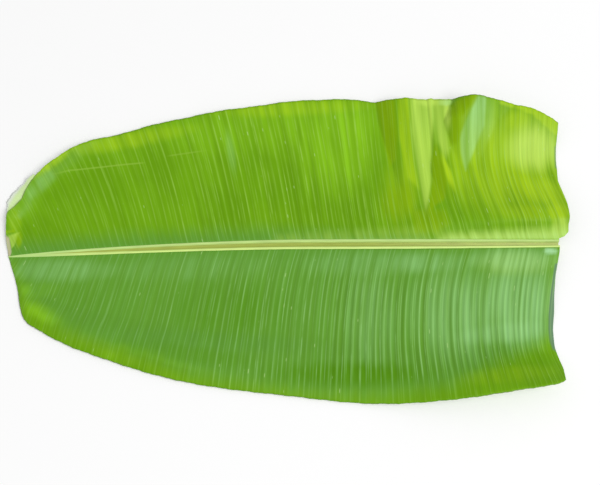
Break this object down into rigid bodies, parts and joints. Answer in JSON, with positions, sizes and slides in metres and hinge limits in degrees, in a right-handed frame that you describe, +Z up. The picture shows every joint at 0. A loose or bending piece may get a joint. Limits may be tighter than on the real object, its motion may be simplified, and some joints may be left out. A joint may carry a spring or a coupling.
{
  "type": "banana leaf",
  "caption": "Cut tip end of a banana leaf, lying flat with its upper side up: a wavy ribbed blade either side of a grooved midrib.",
  "frame": {"origin": "on the table, under the middle of the leaf's length and width", "axes": "+X along the midrib from the tip to the cut end, +Y towards the far half of the blade, +Z up out of the leaf's upper side"},
  "size_m": [0.6844, 0.392, 0.0351],
  "materials": {
    "leaf": "satin"
  },
  "bodies": {
    "root": {"banana_leaf": "leaf"}
  },
  "joints": []
}
